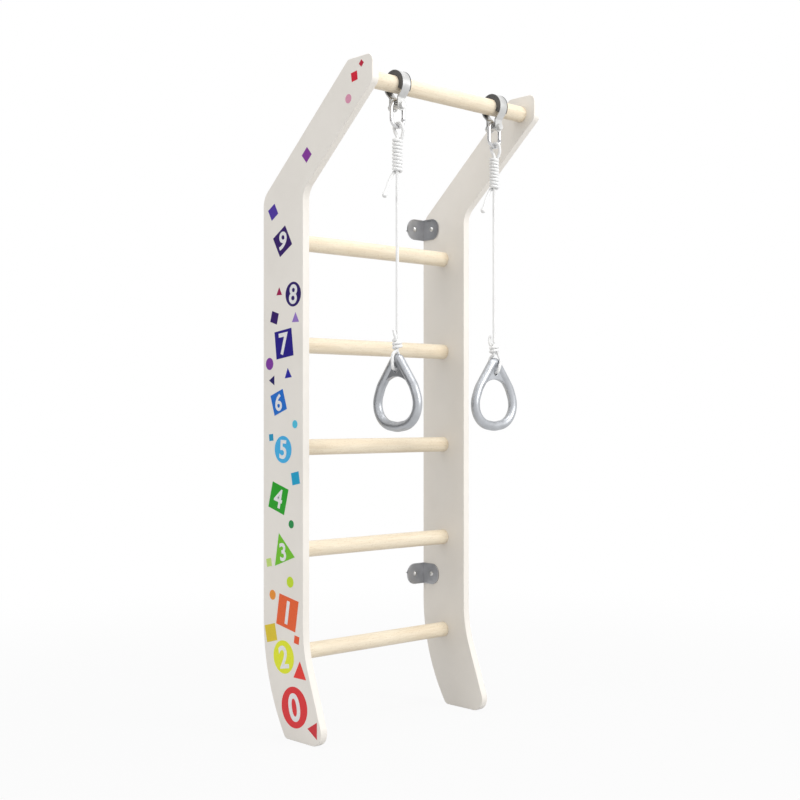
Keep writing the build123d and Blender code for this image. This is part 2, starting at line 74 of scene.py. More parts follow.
placeCamera(viewSettings)
bpy.context.scene.view_settings.view_transform = "Standard"
print("camera placed")


def newPiece(name, points, faces, smooth=True):
    mesh = bpy.data.meshes.new(name)
    mesh.from_pydata(np.asarray(points, dtype=float).tolist(), [], faces)
    mesh.polygons.foreach_set("use_smooth", np.full(len(mesh.polygons), smooth))
    mesh.update()
    return linked(name, mesh)


def meshOf(data):
    # the mesh that a curve or a text becomes
    holder = linked(data.name, data)
    bpy.context.view_layer.update()
    mesh = bpy.data.meshes.new_from_object(holder)
    bpy.data.objects.remove(holder)
    return mesh


def pointsOf(mesh):
    flat = np.empty(len(mesh.vertices) * 3)
    mesh.vertices.foreach_get("co", flat)
    return flat.reshape(-1, 3)


def closedTube(name, grid, along):
    # a skin over rings of points: corner (i, j) joins (i + 1, j) and (i, j + 1), rings close on themselves,
    # and a fan to the middle of the first and last ring shuts each end
    rows, columns = grid.shape[:2]
    i, j = np.meshgrid(np.arange(rows - 1), np.arange(columns), indexing="ij")
    k = (j + 1) % columns
    sideFaces = np.stack([i * columns + j, i * columns + k, (i + 1) * columns + k, (i + 1) * columns + j], -1)
    sideFaces = sideFaces.reshape(-1, 4)
    step = np.arange(columns)
    following = (step + 1) % columns
    lastRow = (rows - 1) * columns
    firstFan = np.stack([np.full(columns, rows * columns), following, step], -1)
    lastFan = np.stack([np.full(columns, rows * columns + 1), lastRow + step, lastRow + following], -1)
    points = np.vstack([grid.reshape(-1, 3), grid[0].mean(axis=0), grid[-1].mean(axis=0)])
    piece = newPiece(name, points, sideFaces.tolist() + firstFan.tolist() + lastFan.tolist())
    # u goes once round the tube, v is the running length along it
    aroundSide = np.stack([j, j + 1, j + 1, j], -1) / columns
    alongSide = np.stack([along[i], along[i], along[i + 1], along[i + 1]], -1)
    side = np.stack([aroundSide, alongSide], -1).reshape(-1, 2)
    aroundFan = np.stack([step + 0.5, step, step + 1], -1).reshape(-1) / columns
    fans = [np.stack([aroundFan, np.full(3 * columns, end)], -1) for end in (along[0], along[-1])]
    layer = piece.data.uv_layers.new(name="alongCord")
    layer.data.foreach_set("uv", np.vstack([side, *fans]).ravel())
    return piece


ropeSizes = {
    "thickness": 0.007,
    "wrapRadius": 0.008,
    "wrapPitch": 0.007583,
    "stepsPerTurn": 16,
    "alongStep": 0.0011,
    "roundSteps": 22,
    "upperKnotTop": 1.2993,
    "ropeFoot": 0.8735,
    "ringKnotFoot": 0.8491,
    "straightHeights": (0.95, 1.17),
    "upperCore": (-0.06, -0.005),
    "upperTurns": 9.25,
    "ringCore": (0.0238, 0.009),
    "ringTurns": 2.25,
    "tipStart": 0.02,
}
hungParts = {
    "left": {"along": -0.150, "quarterTurn": 1},
    "right": {"along": 0.150, "quarterTurn": 0},
}
barY = -0.1425

# points listed from each knot's foot or top, with x and y from the rope's own line
upperEye = [
    (0, 0, 0.002),
    (0, 0.0095, 0.014),
    (0.0005, 0.0105, 0.0289),
    (0.0025, -0.0105, 0.0289),
    (0.0055, -0.0112, 0.018),
    (0.008, -0.0105, 0.0105),
    (0.008, -0.0075, 0.004),
    (0.008, -0.0046, -0.0019),
]
upperTail = [
    (-0.0037, 0.008, -0.0742),
    (-0.0054, 0.008, -0.0775),
    (-0.0092, 0.008, -0.0836),
    (-0.019, 0.008, -0.0995),
    (-0.03, 0.005, -0.122),
]
ringEye = [
    (0, 0, -0.001),
    (0, 0.013, -0.0074),
    (0, 0.0153, -0.024),
    (0, 0.0128, -0.038),
    (0, 0.0105, -0.0413),
    (0, -0.0105, -0.0413),
    (0.0003, -0.0128, -0.038),
    (0.002, -0.0148, -0.028),
    (0.0065, -0.0146, -0.0185),
    (0.008, -0.0118, -0.0114),
    (0.008, -0.0088, -0.0062),
    (0.008, -0.0035, 0.003),
]
ringTail = [
    (-0.0029, 0.008, 0.021),
    (-0.005, 0.0095, 0.027),
    (-0.003, 0.0115, 0.034),
    (-0.001, 0.0118, 0.043),
]


def wraps(turns, upwards, sizes):
    # points of a helix: (r cos a, r sin a, start +- pitch * a / whole turn), with a from 0 to the last turn
    angle = np.arange(int(turns * sizes["stepsPerTurn"]) + 1) / sizes["stepsPerTurn"] * 2 * math.pi
    height = sizes["thickness"] / 2 + sizes["wrapPitch"] * angle / (2 * math.pi)
    if not upwards:
        height = -height
    return np.stack([sizes["wrapRadius"] * np.cos(angle), sizes["wrapRadius"] * np.sin(angle), height], -1)


def turnedTo(side, points, height):
    # from a rope's own axes to the object's: quarter turn about the rope, then out along the bar
    points = np.asarray(points, dtype=float)
    if hungParts[side]["quarterTurn"] and height < ropeSizes["ropeFoot"]:
        points = np.stack([-points[:, 1], points[:, 0], points[:, 2]], -1)
    return points + (hungParts[side]["along"], barY, height)


def splineThrough(name, route):
    # the smooth line that a quadratic spline draws from the route's points
    data = bpy.data.curves.new(name, "CURVE")
    data.dimensions = "3D"
    data.resolution_u = 10
    spline = data.splines.new("NURBS")
    spline.points.add(len(route) - 1)
    spline.points.foreach_set("co", np.c_[route, np.ones(len(route))].ravel())
    spline.order_u = 3
    spline.use_endpoint_u = True
    mesh = meshOf(data)
    line = pointsOf(mesh)
    bpy.data.meshes.remove(mesh)
    return line


def evenSteps(line, step):
    # points a steady distance apart, found on the line's running length
    gaps = np.linalg.norm(np.diff(line, axis=0), axis=1)
    line = line[np.r_[True, gaps > 1e-7]]
    run = np.r_[0.0, np.cumsum(np.linalg.norm(np.diff(line, axis=0), axis=1))]
    places = np.linspace(0.0, run[-1], int(run[-1] / step) + 1)
    return np.stack([np.interp(places, run, line[:, k]) for k in range(3)], -1), places


def carriedRings(line):
    # two directions across the line, carried along it so that they don't twist
    tangent = np.gradient(line, axis=0)
    tangent /= np.linalg.norm(tangent, axis=1)[:, None]
    across = np.empty_like(line)
    across[0] = np.cross(tangent[0], (0.3, 0.9, 0.1))
    across[0] /= np.linalg.norm(across[0])
    for i in range(1, len(line)):
        flat = across[i - 1] - tangent[i] * np.dot(across[i - 1], tangent[i])
        across[i] = flat / np.linalg.norm(flat)
    return across, np.cross(tangent, across)


def braidedRope(name, route, sizes):
    # ring i, step j = line(i) + radius(i) * (cos a across(i) + sin a up(i)), and near an end the radius is
    # half the thickness * (1 - (1 - s)^2)^0.5, where s is the distance from the end over half the thickness
    line, run = evenSteps(splineThrough(name + "Line", route), sizes["alongStep"])
    across, up = carriedRings(line)
    fromEnd = np.minimum(run, run[-1] - run)
    inward = np.clip(fromEnd / (sizes["thickness"] / 2), sizes["tipStart"], 1.0)
    radius = sizes["thickness"] / 2 * np.sqrt(1 - (1 - inward) ** 2)
    angle = np.arange(sizes["roundSteps"]) / sizes["roundSteps"] * 2 * math.pi
    ring = np.cos(angle)[:, None] * across[:, None] + np.sin(angle)[:, None] * up[:, None]
    rope = closedTube(name, line[:, None] + radius[:, None, None] * ring, run)
    return rope, line, run[-1]


endKnotSizes = {
    "radius": 0.0058,
    "length": 0.012,
    "rows": 28,
    "roundSteps": 36,
    "ridges": 3,
    "ridgeDepth": 0.09,
    "ridgeTurns": 1.5,
    "endShare": 0.01,
    "sunkShare": 0.3,
    "pointsBack": 8,
}


def endKnot(name, foot, heading, sizes):
    # a small wound knot: radius(s, a) = full radius * (1 - |2s - 1|^4)^0.5 * (1 - depth * (1 - |cos b|)),
    # where b = ridges * a / 2 - 2 pi * turns * s, so that the ridges wind round it
    heading = np.asarray(heading) / np.linalg.norm(heading)
    across = np.cross(heading, (0.0, 1.0, 0.0))
    across /= np.linalg.norm(across)
    up = np.cross(heading, across)
    s = np.linspace(sizes["endShare"], 1 - sizes["endShare"], sizes["rows"])[:, None]
    angle = np.arange(sizes["roundSteps"])[None, :] / sizes["roundSteps"] * 2 * math.pi
    body = np.sqrt(1 - np.abs(2 * s - 1) ** 4)
    winding = sizes["ridges"] * angle / 2 - 2 * math.pi * sizes["ridgeTurns"] * s
    ridge = 1 - sizes["ridgeDepth"] * (1 - np.abs(np.cos(winding)))
    radius = sizes["radius"] * body * ridge
    spread = np.cos(angle)[..., None] * across + np.sin(angle)[..., None] * up
    points = foot + heading * (s * sizes["length"])[..., None] + radius[..., None] * spread
    return closedTube(name, points, s[:, 0] * sizes["length"])


ropes = []
for side in hungParts:
    knotTop, ropeFoot = ropeSizes["upperKnotTop"], ropeSizes["ropeFoot"]
    mainRun = [(0, 0, z - knotTop) for z in (ropeFoot, *ropeSizes["straightHeights"])]
    mainRun += [(0, 0, z) for z in ropeSizes["upperCore"]]
    upperWraps = wraps(ropeSizes["upperTurns"], False, ropeSizes)
    upperRoute = turnedTo(side, [*mainRun, *upperEye, *upperWraps, *upperTail], knotTop)
    rope, line, length = braidedRope(f"{side}_hung_rope", upperRoute, ropeSizes)
    tip, heading = line[-1], line[-1] - line[-endKnotSizes["pointsBack"]]
    knot = endKnot(f"{side}_tail_knot", tip - heading * endKnotSizes["sunkShare"], heading, endKnotSizes)
    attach(rope, f"{side}_hook")
    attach(knot, f"{side}_hook")
    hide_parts(f"{side}_rope", f"{side}_rope_knot", f"{side}_rope_eye", f"{side}_rope_tail")
    print(f"{side} hung rope: {length:.3f} m")

    footHeight = ropeSizes["ringKnotFoot"]
    coreRun = [(0, 0, z) for z in ropeSizes["ringCore"]]
    ringWraps = wraps(ropeSizes["ringTurns"], True, ropeSizes)
    lowerRoute = turnedTo(side, [*coreRun, *ringEye, *ringWraps, *ringTail], footHeight)
    ringRope, ringLine, ringLength = braidedRope(f"{side}_ring_rope_end", lowerRoute, ropeSizes)
    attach(ringRope, f"{side}_ring_rope")
    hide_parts(f"{side}_ring_knot", f"{side}_ring_loop", f"{side}_ring_knot_tail")
    print(f"{side} ring rope: {ringLength:.3f} m")
    ropes += [rope, knot, ringRope]
print("ropes wound")


# the rings' outline is the hull of four circles: across, height from the ring's top, radius, in millimetres;
# the window's circles end inside the limb at the sides and the foot, so that only its top edge shows
ringShape = {
    "circles": [(-14, -106, 58), (14, -106, 58), (0, -98, 68), (0, -21, 21)],
    "top": 0.8411,
    "sideRadius": 0.0101,
    "footRadius": 0.0108,
    "webHalf": 0.0055,
    "webBevel": 0.0012,
    "webRimInside": 0.008,
    "windowCircles": [(0, -92.5, 42), (0, -106, 57)],
    "holeCircle": [(0, -35, 5.6)],
    "steps": 220,
    "roundSteps": 40,
    "webSteps": 150,
    "holeSteps": 48,
    "hullDirections": 721,
}


def hullOutline(circles, shrink, steps):
    # for each direction u the outline's point is c + r u of the circle that reaches furthest that way;
    # the points are then spread evenly over the closed line's length
    circles = np.asarray(circles, dtype=float) / 1000
    angle = np.linspace(0, 2 * math.pi, ringShape["hullDirections"])
    outward = np.stack([np.cos(angle), np.sin(angle)], -1)
    furthest = np.argmax(outward @ circles[:, :2].T + circles[:, 2], axis=1)
    line = circles[furthest, :2] + (circles[furthest, 2] - shrink)[:, None] * outward
    run = np.r_[0.0, np.cumsum(np.linalg.norm(np.diff(line, axis=0), axis=1))]
    places = np.arange(steps) / steps * run[-1]
    even = [np.stack([np.interp(places, run, table[:, k]) for k in (0, 1)], -1) for table in (line, outward)]
    return even[0], even[1] / np.linalg.norm(even[1], axis=1)[:, None]


def ringPlace(side, across, through, up):
    if hungParts[side]["quarterTurn"]:
        across, through = -through, across
    return np.stack([across + hungParts[side]["along"], through + barY, up + ringShape["top"]], -1)


def ringLimb(side, shape):
    # ring i, step j = outline(i) - rho u(i) + rho (cos a u(i) + sin a through); rho grows towards the foot
    line, outward = hullOutline(shape["circles"], 0.0, shape["steps"])
    lower = np.clip(-outward[:, 1:], 0, 1) ** 2
    radius = shape["sideRadius"] + (shape["footRadius"] - shape["sideRadius"]) * lower
    angle = np.arange(shape["roundSteps"]) / shape["roundSteps"] * 2 * math.pi
    reach = radius * (np.cos(angle)[None, :] - 1)
    flat = line[:, None] + reach[..., None] * outward[:, None]
    points = ringPlace(side, flat[..., 0], radius * np.sin(angle)[None, :], flat[..., 1])
    i, j = np.meshgrid(np.arange(shape["steps"]), np.arange(shape["roundSteps"]), indexing="ij")
    nextI, nextJ = (i + 1) % shape["steps"], (j + 1) % shape["roundSteps"]
    columns = shape["roundSteps"]
    faces = np.stack([i * columns + j, nextI * columns + j, nextI * columns + nextJ, i * columns + nextJ], -1)
    return newPiece(f"{side}_ring_limb", points.reshape(-1, 3), faces.reshape(-1, 4).tolist())


def ringWeb(side, shape):
    # a flat plate with the rope's hole, its rim inside the limb and its foot open to the hand
    data = bpy.data.curves.new("ringWeb", "CURVE")
    data.dimensions = "2D"
    data.fill_mode = "BOTH"
    data.bevel_depth = shape["webBevel"]
    data.offset = -data.bevel_depth
    data.bevel_resolution = 3
    data.extrude = shape["webHalf"] - data.bevel_depth
    rims = [
        (shape["circles"], shape["webRimInside"], shape["webSteps"]),
        (shape["windowCircles"], 0.0, shape["webSteps"]),
        (shape["holeCircle"], 0.0, shape["holeSteps"]),
    ]
    for circles, shrink, steps in rims:
        line = hullOutline(circles, shrink, steps)[0]
        spline = data.splines.new("POLY")
        spline.points.add(steps - 1)
        spline.points.foreach_set("co", np.c_[line, np.zeros(steps), np.ones(steps)].ravel())
        spline.use_cyclic_u = True
    mesh = meshOf(data)
    flat = pointsOf(mesh)
    mesh.vertices.foreach_set("co", ringPlace(side, flat[:, 0], flat[:, 2], flat[:, 1]).ravel())
    mesh.update()
    return linked(f"{side}_ring_web", mesh)


# the bushes: a flanged saddle over the bar, open below; corners are distance along the bar and from its axis,
# in millimetres, and the ends are degrees round the bar from the wall's side
saddle = {
    "corners": [
        (-12.7, 18.1), (-12.7, 30), (-11.1, 30), (-11.1, 26.5),
        (11.1, 26.5), (11.1, 30), (12.7, 30), (12.7, 18.1),
    ],
    "barHeight": 1.409,
    "ends": (-17, 212),
    "length": 0.1,
    "steps": 72,
}


def barSaddle(side, shape):
    # step i turns the section about the bar: (along, r cos a, r sin a), a going from one lower end to the
    # other
    section = np.asarray(shape["corners"], dtype=float) / 1000
    angle = np.radians(np.linspace(*shape["ends"], shape["steps"]))[:, None]
    along = np.broadcast_to(section[:, 0], (shape["steps"], len(section))) + hungParts[side]["along"]
    fromWall, up = section[:, 1] * np.cos(angle) + barY, section[:, 1] * np.sin(angle) + shape["barHeight"]
    grid = np.stack([along, fromWall, up], -1)
    piece = closedTube(f"{side}_bar_saddle", grid, np.linspace(0, shape["length"], shape["steps"]))
    piece.data.shade_flat()
    return piece


shapedPieces = []
for side in hungParts:
    limb, web, bush = ringLimb(side, ringShape), ringWeb(side, ringShape), barSaddle(side, saddle)
    ringBody = f"{side}_ring"
    rides = [
        (limb, ringBody, "ring_plastic"),
        (web, ringBody, "ring_plastic"),
        (bush, "frame", "bush_plastic"),
    ]
    for piece, body, slot in rides:
        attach(piece, body)
        shapedPieces.append((piece, slot))
    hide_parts(f"{side}_gym_ring")
    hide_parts(f"{side}_hanger_bush")
print("rings and saddles shaped")


def shaderFor(name, colour, rough, metal=0.0):
    material = bpy.data.materials.new(name)
    material.use_nodes = True
    shader = material.node_tree.nodes["Principled BSDF"]
    shader.inputs["Base Color"].default_value = (*colour, 1.0)
    shader.inputs["Roughness"].default_value = rough
    shader.inputs["Metallic"].default_value = metal
    return material, material.node_tree, shader


def add(tree, kind, **settings):
    node = tree.nodes.new(kind)
    for key, value in settings.items():
        if hasattr(node, key):
            setattr(node, key, value)
        else:
            node.inputs[key].default_value = value
    return node


def noise(tree, coordinates, scale, detail=4.0, stretch=(1, 1, 1), rough=0.55):
    mapping = add(tree, "ShaderNodeMapping")
    mapping.inputs["Scale"].default_value = stretch
    tree.links.new(coordinates, mapping.inputs["Vector"])
    grain = add(tree, "ShaderNodeTexNoise", Scale=scale, Detail=detail, Roughness=rough)
    tree.links.new(mapping.outputs["Vector"], grain.inputs["Vector"])
    return grain.outputs["Fac"]


def between(tree, factor, low, high, start=0.0, end=1.0):
    # colours from low to high as the factor goes from start to end
    ramp = add(tree, "ShaderNodeValToRGB")
    ramp.color_ramp.elements[0].position = start
    ramp.color_ramp.elements[0].color = (*low, 1.0)
    ramp.color_ramp.elements[1].position = end
    ramp.color_ramp.elements[1].color = (*high, 1.0)
    tree.links.new(factor, ramp.inputs["Fac"])
    return ramp.outputs["Color"]


def remap(tree, value, low, high):
    node = add(tree, "ShaderNodeMapRange")
    node.inputs["To Min"].default_value = low
    node.inputs["To Max"].default_value = high
    tree.links.new(value, node.inputs["Value"])
    return node.outputs["Result"]


def calc(tree, operation, first, second=None):
    node = add(tree, "ShaderNodeMath", operation=operation)
    for socket, value in zip(node.inputs, (first, second)):
        if value is None:
            continue
        if isinstance(value, (int, float)):
            socket.default_value = value
        else:
            tree.links.new(value, socket)
    return node.outputs["Value"]


def bump(tree, shader, height, depth, strength=1.0):
    node = add(tree, "ShaderNodeBump", Strength=strength, Distance=depth)
    tree.links.new(height, node.inputs["Height"])
    tree.links.new(node.outputs["Normal"], shader.inputs["Normal"])


def objectPlace(tree):
    return add(tree, "ShaderNodeTexCoord").outputs["Object"]


boardPaint = {
    "light": (0.875, 0.835, 0.775),
    "dull": (0.835, 0.795, 0.735),
    "rough": 0.42,
    "glossDrift": (-0.05, 0.07),
    "patchScale": 9,
    "patchSpan": (0.25, 0.6),
    "stippleScale": 620,
    "plies": 11,
    "thick": 0.018,
    "edgeFacing": 0.6,
    "plyHeight": 0.35,
    "depth": 0.00012,
    "strength": 0.55,
}


def paintedBoard(finish):
    # satin paint rolled over plywood: a fine stipple all over, and the plies just showing on the edges
    material, tree, shader = shaderFor("boardPaint", finish["light"], finish["rough"])
    place = objectPlace(tree)
    patchy = noise(tree, place, finish["patchScale"], 5)
    colour = between(tree, patchy, finish["dull"], finish["light"], *finish["patchSpan"])
    tree.links.new(colour, shader.inputs["Base Color"])
    low, high = (finish["rough"] + drift for drift in finish["glossDrift"])
    tree.links.new(remap(tree, patchy, low, high), shader.inputs["Roughness"])
    stipple = noise(tree, place, finish["stippleScale"], 3)
    facing = add(tree, "ShaderNodeSeparateXYZ")
    tree.links.new(add(tree, "ShaderNodeNewGeometry").outputs["Normal"], facing.inputs["Vector"])
    onEdge = calc(tree, "LESS_THAN", calc(tree, "ABSOLUTE", facing.outputs["X"]), finish["edgeFacing"])
    parts = add(tree, "ShaderNodeSeparateXYZ")
    tree.links.new(place, parts.inputs["Vector"])
    # height = sin(pi * plies * x / board thickness), half a wave for each ply
    perMetre = math.pi * finish["plies"] / finish["thick"]
    wave = calc(tree, "SINE", calc(tree, "MULTIPLY", parts.outputs["X"], perMetre))
    plies = calc(tree, "MULTIPLY", calc(tree, "MULTIPLY", wave, onEdge), finish["plyHeight"])
    bump(tree, shader, calc(tree, "ADD", stipple, plies), finish["depth"], finish["strength"])
    return material


beech = {
    "pale": (0.88, 0.78, 0.61),
    "dark": (0.78, 0.65, 0.47),
    "fleck": (0.56, 0.40, 0.25),
    "rough": 0.4,
    "gloss": (0.32, 0.5),
    "bandStretch": (5, 70, 70),
    "bandSpan": (0.22, 0.58),
    "fineStretch": (30, 520, 520),
    "fineShade": (0.55, 0.5, 0.42),
    "fineSpan": (0.3, 0.62),
    "fineShare": 0.22,
    "fleckStretch": (150, 900, 900),
    "fleckFrom": 0.64,
    "fleckShare": 0.4,
    "coat": 0.25,
    "coatRough": 0.3,
    "bandHeight": 0.5,
    "depth": 0.00018,
    "strength": 0.5,
}


def beechWood(finish):
    # long soft grain and short darker flecks, both drawn out along the rods
    material, tree, shader = shaderFor("beechLacquer", finish["pale"], finish["rough"])
    place = objectPlace(tree)
    bands = noise(tree, place, 1.0, 6, finish["bandStretch"], 0.6)
    fine = noise(tree, place, 1.0, 4, finish["fineStretch"], 0.5)
    flecks = noise(tree, place, 1.0, 2, finish["fleckStretch"], 0.4)
    base = between(tree, bands, finish["dark"], finish["pale"], *finish["bandSpan"])
    mixFine = add(tree, "ShaderNodeMix", data_type="RGBA", blend_type="MULTIPLY")
    mixFine.inputs["Factor"].default_value = finish["fineShare"]
    tree.links.new(base, mixFine.inputs["A"])
    fineShade = between(tree, fine, finish["fineShade"], (1, 1, 1), *finish["fineSpan"])
    tree.links.new(fineShade, mixFine.inputs["B"])
    mixFleck = add(tree, "ShaderNodeMix", data_type="RGBA")
    isFleck = calc(tree, "GREATER_THAN", flecks, finish["fleckFrom"])
    tree.links.new(calc(tree, "MULTIPLY", isFleck, finish["fleckShare"]), mixFleck.inputs["Factor"])
    tree.links.new(mixFine.outputs["Result"], mixFleck.inputs["A"])
    mixFleck.inputs["B"].default_value = (*finish["fleck"], 1)
    tree.links.new(mixFleck.outputs["Result"], shader.inputs["Base Color"])
    tree.links.new(remap(tree, fine, *finish["gloss"]), shader.inputs["Roughness"])
    shader.inputs["Coat Weight"].default_value = finish["coat"]
    shader.inputs["Coat Roughness"].default_value = finish["coatRough"]
    height = calc(tree, "ADD", fine, calc(tree, "MULTIPLY", bands, finish["bandHeight"]))
    bump(tree, shader, height, finish["depth"], finish["strength"])
    return material


metals = {
    "bracketPaint": {
        "colour": (0.50, 0.505, 0.52),
        "rough": 0.36, "metal": 0.95, "scale": 700, "depth": 0.00005,
    },
    "screwZinc": {
        "colour": (0.62, 0.62, 0.61),
        "rough": 0.27, "metal": 1.0, "scale": 900, "depth": 0.00003,
    },
    "strapZinc": {
        "colour": (0.66, 0.66, 0.65),
        "rough": 0.33, "metal": 1.0, "scale": 500, "depth": 0.00004,
    },
    "hookPlate": {
        "colour": (0.70, 0.70, 0.71),
        "rough": 0.2, "metal": 1.0, "scale": 800, "depth": 0.00002,
    },
    "bushGrey": {
        "colour": (0.085, 0.085, 0.087),
        "rough": 0.46, "metal": 0.0, "scale": 1300, "depth": 0.00004,
    },
    "ringGrey": {
        "colour": (0.50, 0.515, 0.54),
        "rough": 0.4, "metal": 0.95, "scale": 420, "depth": 0.00003,
    },
}

coatDrift = {"scale": 38, "tone": (0.86, 1.06), "span": (0.3, 0.7), "gloss": (-0.06, 0.1), "strength": 0.6}


def finishFor(name, finish):
    # an even coat whose gloss and tone drift a little, over a fine tooth
    material, tree, shader = shaderFor(name, finish["colour"], finish["rough"], finish["metal"])
    place = objectPlace(tree)
    drift = noise(tree, place, coatDrift["scale"], 5)
    low, high = (tuple(min(tone * c, 1.0) for c in finish["colour"]) for tone in coatDrift["tone"])
    tree.links.new(between(tree, drift, low, high, *coatDrift["span"]), shader.inputs["Base Color"])
    smoothest, roughest = (finish["rough"] + change for change in coatDrift["gloss"])
    tree.links.new(remap(tree, drift, smoothest, roughest), shader.inputs["Roughness"])
    bump(tree, shader, noise(tree, place, finish["scale"], 3), finish["depth"], coatDrift["strength"])
    return material


braid = {
    "light": (0.95, 0.95, 0.945),
    # shade is painted shade: the colour that the grooves between strands are given
    "shade": (0.76, 0.76, 0.755),
    "colourSpan": (0.05, 0.7),
    "strands": 8,
    "lay": 0.021,
    "rough": 0.75,
    "sheen": 0.15,
    "fibreScale": 1800,
    "fibreTone": 0.25,
    "fibreHeight": 0.3,
    "depth": 0.00035,
    "strength": 0.8,
}


def braidedCord(finish):
    # two families of strands cross on the rope's skin: strands * (round + along / lay) and
    # strands * (round - along / lay); the one on top changes from cell to cell, and each is rounded as |sin|
    # across its width; the colour darkens from each crown towards the strand's edges, which is painted shade
    # for the grooves between strands
    material, tree, shader = shaderFor("braidedRope", finish["light"], finish["rough"])
    uv = add(tree, "ShaderNodeUVMap", uv_map="alongCord")
    parts = add(tree, "ShaderNodeSeparateXYZ")
    tree.links.new(uv.outputs["UV"], parts.inputs["Vector"])
    around = calc(tree, "MULTIPLY", parts.outputs["X"], finish["strands"])
    along = calc(tree, "MULTIPLY", parts.outputs["Y"], finish["strands"] / finish["lay"])
    first = calc(tree, "ADD", around, along)
    second = calc(tree, "SUBTRACT", around, along)
    cells = calc(tree, "ADD", calc(tree, "FLOOR", first), calc(tree, "FLOOR", second))
    over = calc(tree, "GREATER_THAN", calc(tree, "MODULO", calc(tree, "ABSOLUTE", cells), 2), 0.5)
    crownA = calc(tree, "ABSOLUTE", calc(tree, "SINE", calc(tree, "MULTIPLY", first, math.pi)))
    crownB = calc(tree, "ABSOLUTE", calc(tree, "SINE", calc(tree, "MULTIPLY", second, math.pi)))
    keepA = calc(tree, "MULTIPLY", crownA, over)
    keepB = calc(tree, "MULTIPLY", crownB, calc(tree, "SUBTRACT", 1.0, over))
    crown = calc(tree, "ADD", keepA, keepB)
    fibres = noise(tree, objectPlace(tree), finish["fibreScale"], 3)
    # painted shade: the crown darkens the colour towards each strand's edges, and the fibres add a real tone
    # that varies at random
    tone = calc(tree, "ADD", crown, calc(tree, "MULTIPLY", fibres, finish["fibreTone"]))
    colour = between(tree, tone, finish["shade"], finish["light"], *finish["colourSpan"])
    tree.links.new(colour, shader.inputs["Base Color"])
    shader.inputs["Sheen Weight"].default_value = finish["sheen"]
    height = calc(tree, "ADD", crown, calc(tree, "MULTIPLY", fibres, finish["fibreHeight"]))
    bump(tree, shader, height, finish["depth"], finish["strength"])
    return material


finishes = {
    "painted_board": paintedBoard(boardPaint),
    "beech_wood": beechWood(beech),
    "bracket_paint": finishFor("bracketPaint", metals["bracketPaint"]),
    "screw_steel": finishFor("screwZinc", metals["screwZinc"]),
    "bush_plastic": finishFor("bushGrey", metals["bushGrey"]),
    "hanger_steel": finishFor("strapZinc", metals["strapZinc"]),
    "hook_steel": finishFor("hookPlate", metals["hookPlate"]),
    "white_rope": braidedCord(braid),
    "ring_plastic": finishFor("ringGrey", metals["ringGrey"]),
}


def dress(piece, material):
    if piece.material_slots:
        for slot in piece.material_slots:
            slot.material = material
    else:
        piece.data.materials.append(material)


for part in frame["record"]["subparts"]:
    dress(frame["nodes"][part["node"]], finishes[part["material_slot"]])
for rope in ropes:
    dress(rope, finishes["white_rope"])
for piece, slot in shapedPieces:
    dress(piece, finishes[slot])
print("solids finished")

# stickers on the left panel's outer face: shape, distance from the wall, height, size, turn, colour,
# then for some a digit with its height and turn; millimetres and degrees
stickerFace = {
    "x": -0.258,
    "wallY": 0.1835,
    "thick": 0.00025,
    "digitThick": 0.0002,
    "digitSwell": 0.022,
    "digitDepth": 0.01,
}
film = {
    "rough": 0.32,
    "lift": 0.8,
    "brightest": 0.86,
    "scale": 260,
    "shade": 0.9,
    "span": (0.3, 0.6),
    "depth": 0.00003,
    "strength": 0.4,
    "digit": (236, 235, 233),
}
stickers = [
    ("square", 334, 1434, 11, 45, (178, 10, 50)),
    ("square", 312, 1411, 19, 8, (200, 0, 40)),
    ("round", 293, 1368, 19, 0, (205, 140, 165)),
    ("square", 155, 1272, 24, 42, (125, 45, 145)),
    ("square", 36, 1162, 27, -60, (70, 45, 150)),
    ("square", 70, 1094, 50, 30, (45, 10, 95), "9", 43, -14),
    ("triangle", 58, 982, 20, 0, (150, 10, 75)),
    ("round", 108, 975, 54, 0, (35, 5, 95), "8", 43, -5),
    ("square", 41, 927, 25, -17, (45, 10, 95)),
    ("triangle", 116, 921, 25, 0, (140, 110, 185)),
    ("square", 75, 868, 61, 7, (25, 5, 125), "7", 49, 6),
    ("round", 23, 825, 27, 0, (120, 50, 150)),
    ("triangle", 90, 800, 25, 5, (25, 25, 150)),
    ("triangle", 34, 788, 22, 90, (20, 5, 90)),
    ("square", 56, 739, 47, 19, (10, 100, 190), "6", 38, 2),
    ("round", 114, 691, 18, 0, (70, 180, 210)),
    ("square", 29, 661, 15, 6, (20, 140, 180)),
    ("round", 72, 635, 60, 0, (60, 165, 215), "5", 42, -3),
    ("square", 116, 573, 27, 11, (0, 150, 190)),
    ("square", 55, 527, 59, -16, (10, 150, 10), "4", 43, -14),
    ("round", 101, 472, 18, 0, (0, 130, 60)),
    ("triangle", 71, 409, 75, 19, (100, 180, 0), "3", 40, 8),
    ("square", 21, 382, 18, 12, (180, 205, 110)),
    ("round", 97, 345, 24, 0, (180, 205, 0)),
    ("round", 34, 311, 22, 0, (220, 130, 10)),
    ("square", 87, 277, 69, -10, (215, 80, 0), "1", 52, -10),
    ("square", 28, 226, 38, 14, (205, 180, 0)),
    ("square", 120, 221, 17, -9, (225, 70, 0)),
    ("round", 74, 178, 73, 0, (210, 215, 0), "2", 50, 10),
    ("triangle", 131, 151, 44, 0, (215, 25, 0)),
    ("round", 112, 73, 90, 0, (205, 0, 15), "0", 62, 12),
    ("triangle", 179, 35, 37, 90, (190, 0, 25)),
]


def outlineOf(shape, size, turn):
    # corners on a circle round the middle: a square or triangle has its side's length, a round its diameter
    counts = {"square": 4, "triangle": 3, "round": 64}
    reach = {"square": size / math.sqrt(2), "triangle": size / math.sqrt(3), "round": size / 2}
    first = {"square": 45.0, "triangle": 90.0, "round": 0.0}
    angle = np.radians(first[shape] + turn + np.arange(counts[shape]) / counts[shape] * 360)
    return reach[shape] * np.stack([np.cos(angle), np.sin(angle)], -1)


